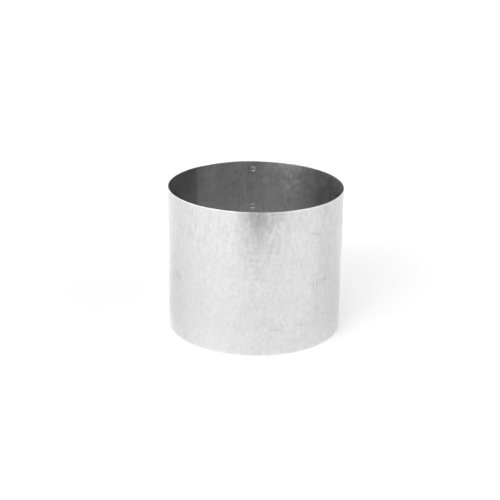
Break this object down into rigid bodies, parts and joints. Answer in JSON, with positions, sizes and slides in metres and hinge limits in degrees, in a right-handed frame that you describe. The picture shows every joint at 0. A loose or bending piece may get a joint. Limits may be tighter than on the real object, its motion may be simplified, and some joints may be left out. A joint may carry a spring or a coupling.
{
  "type": "chimney flue sleeve",
  "caption": "Plain galvanised steel sleeve: a rolled sheet tube with a spot-welded lap seam, built into a chimney wall to take a stove's flue pipe.",
  "frame": {"origin": "on the bore axis, in the plane of the bottom rim", "axes": "+Z along the bore axis from the bottom rim to the top rim, +Y through the weld line of the lap seam"},
  "size_m": [0.1554, 0.1562, 0.13],
  "materials": {
    "galvanised_steel": "satin"
  },
  "bodies": {
    "root": {"sleeve_shell": "galvanised_steel"}
  },
  "joints": []
}
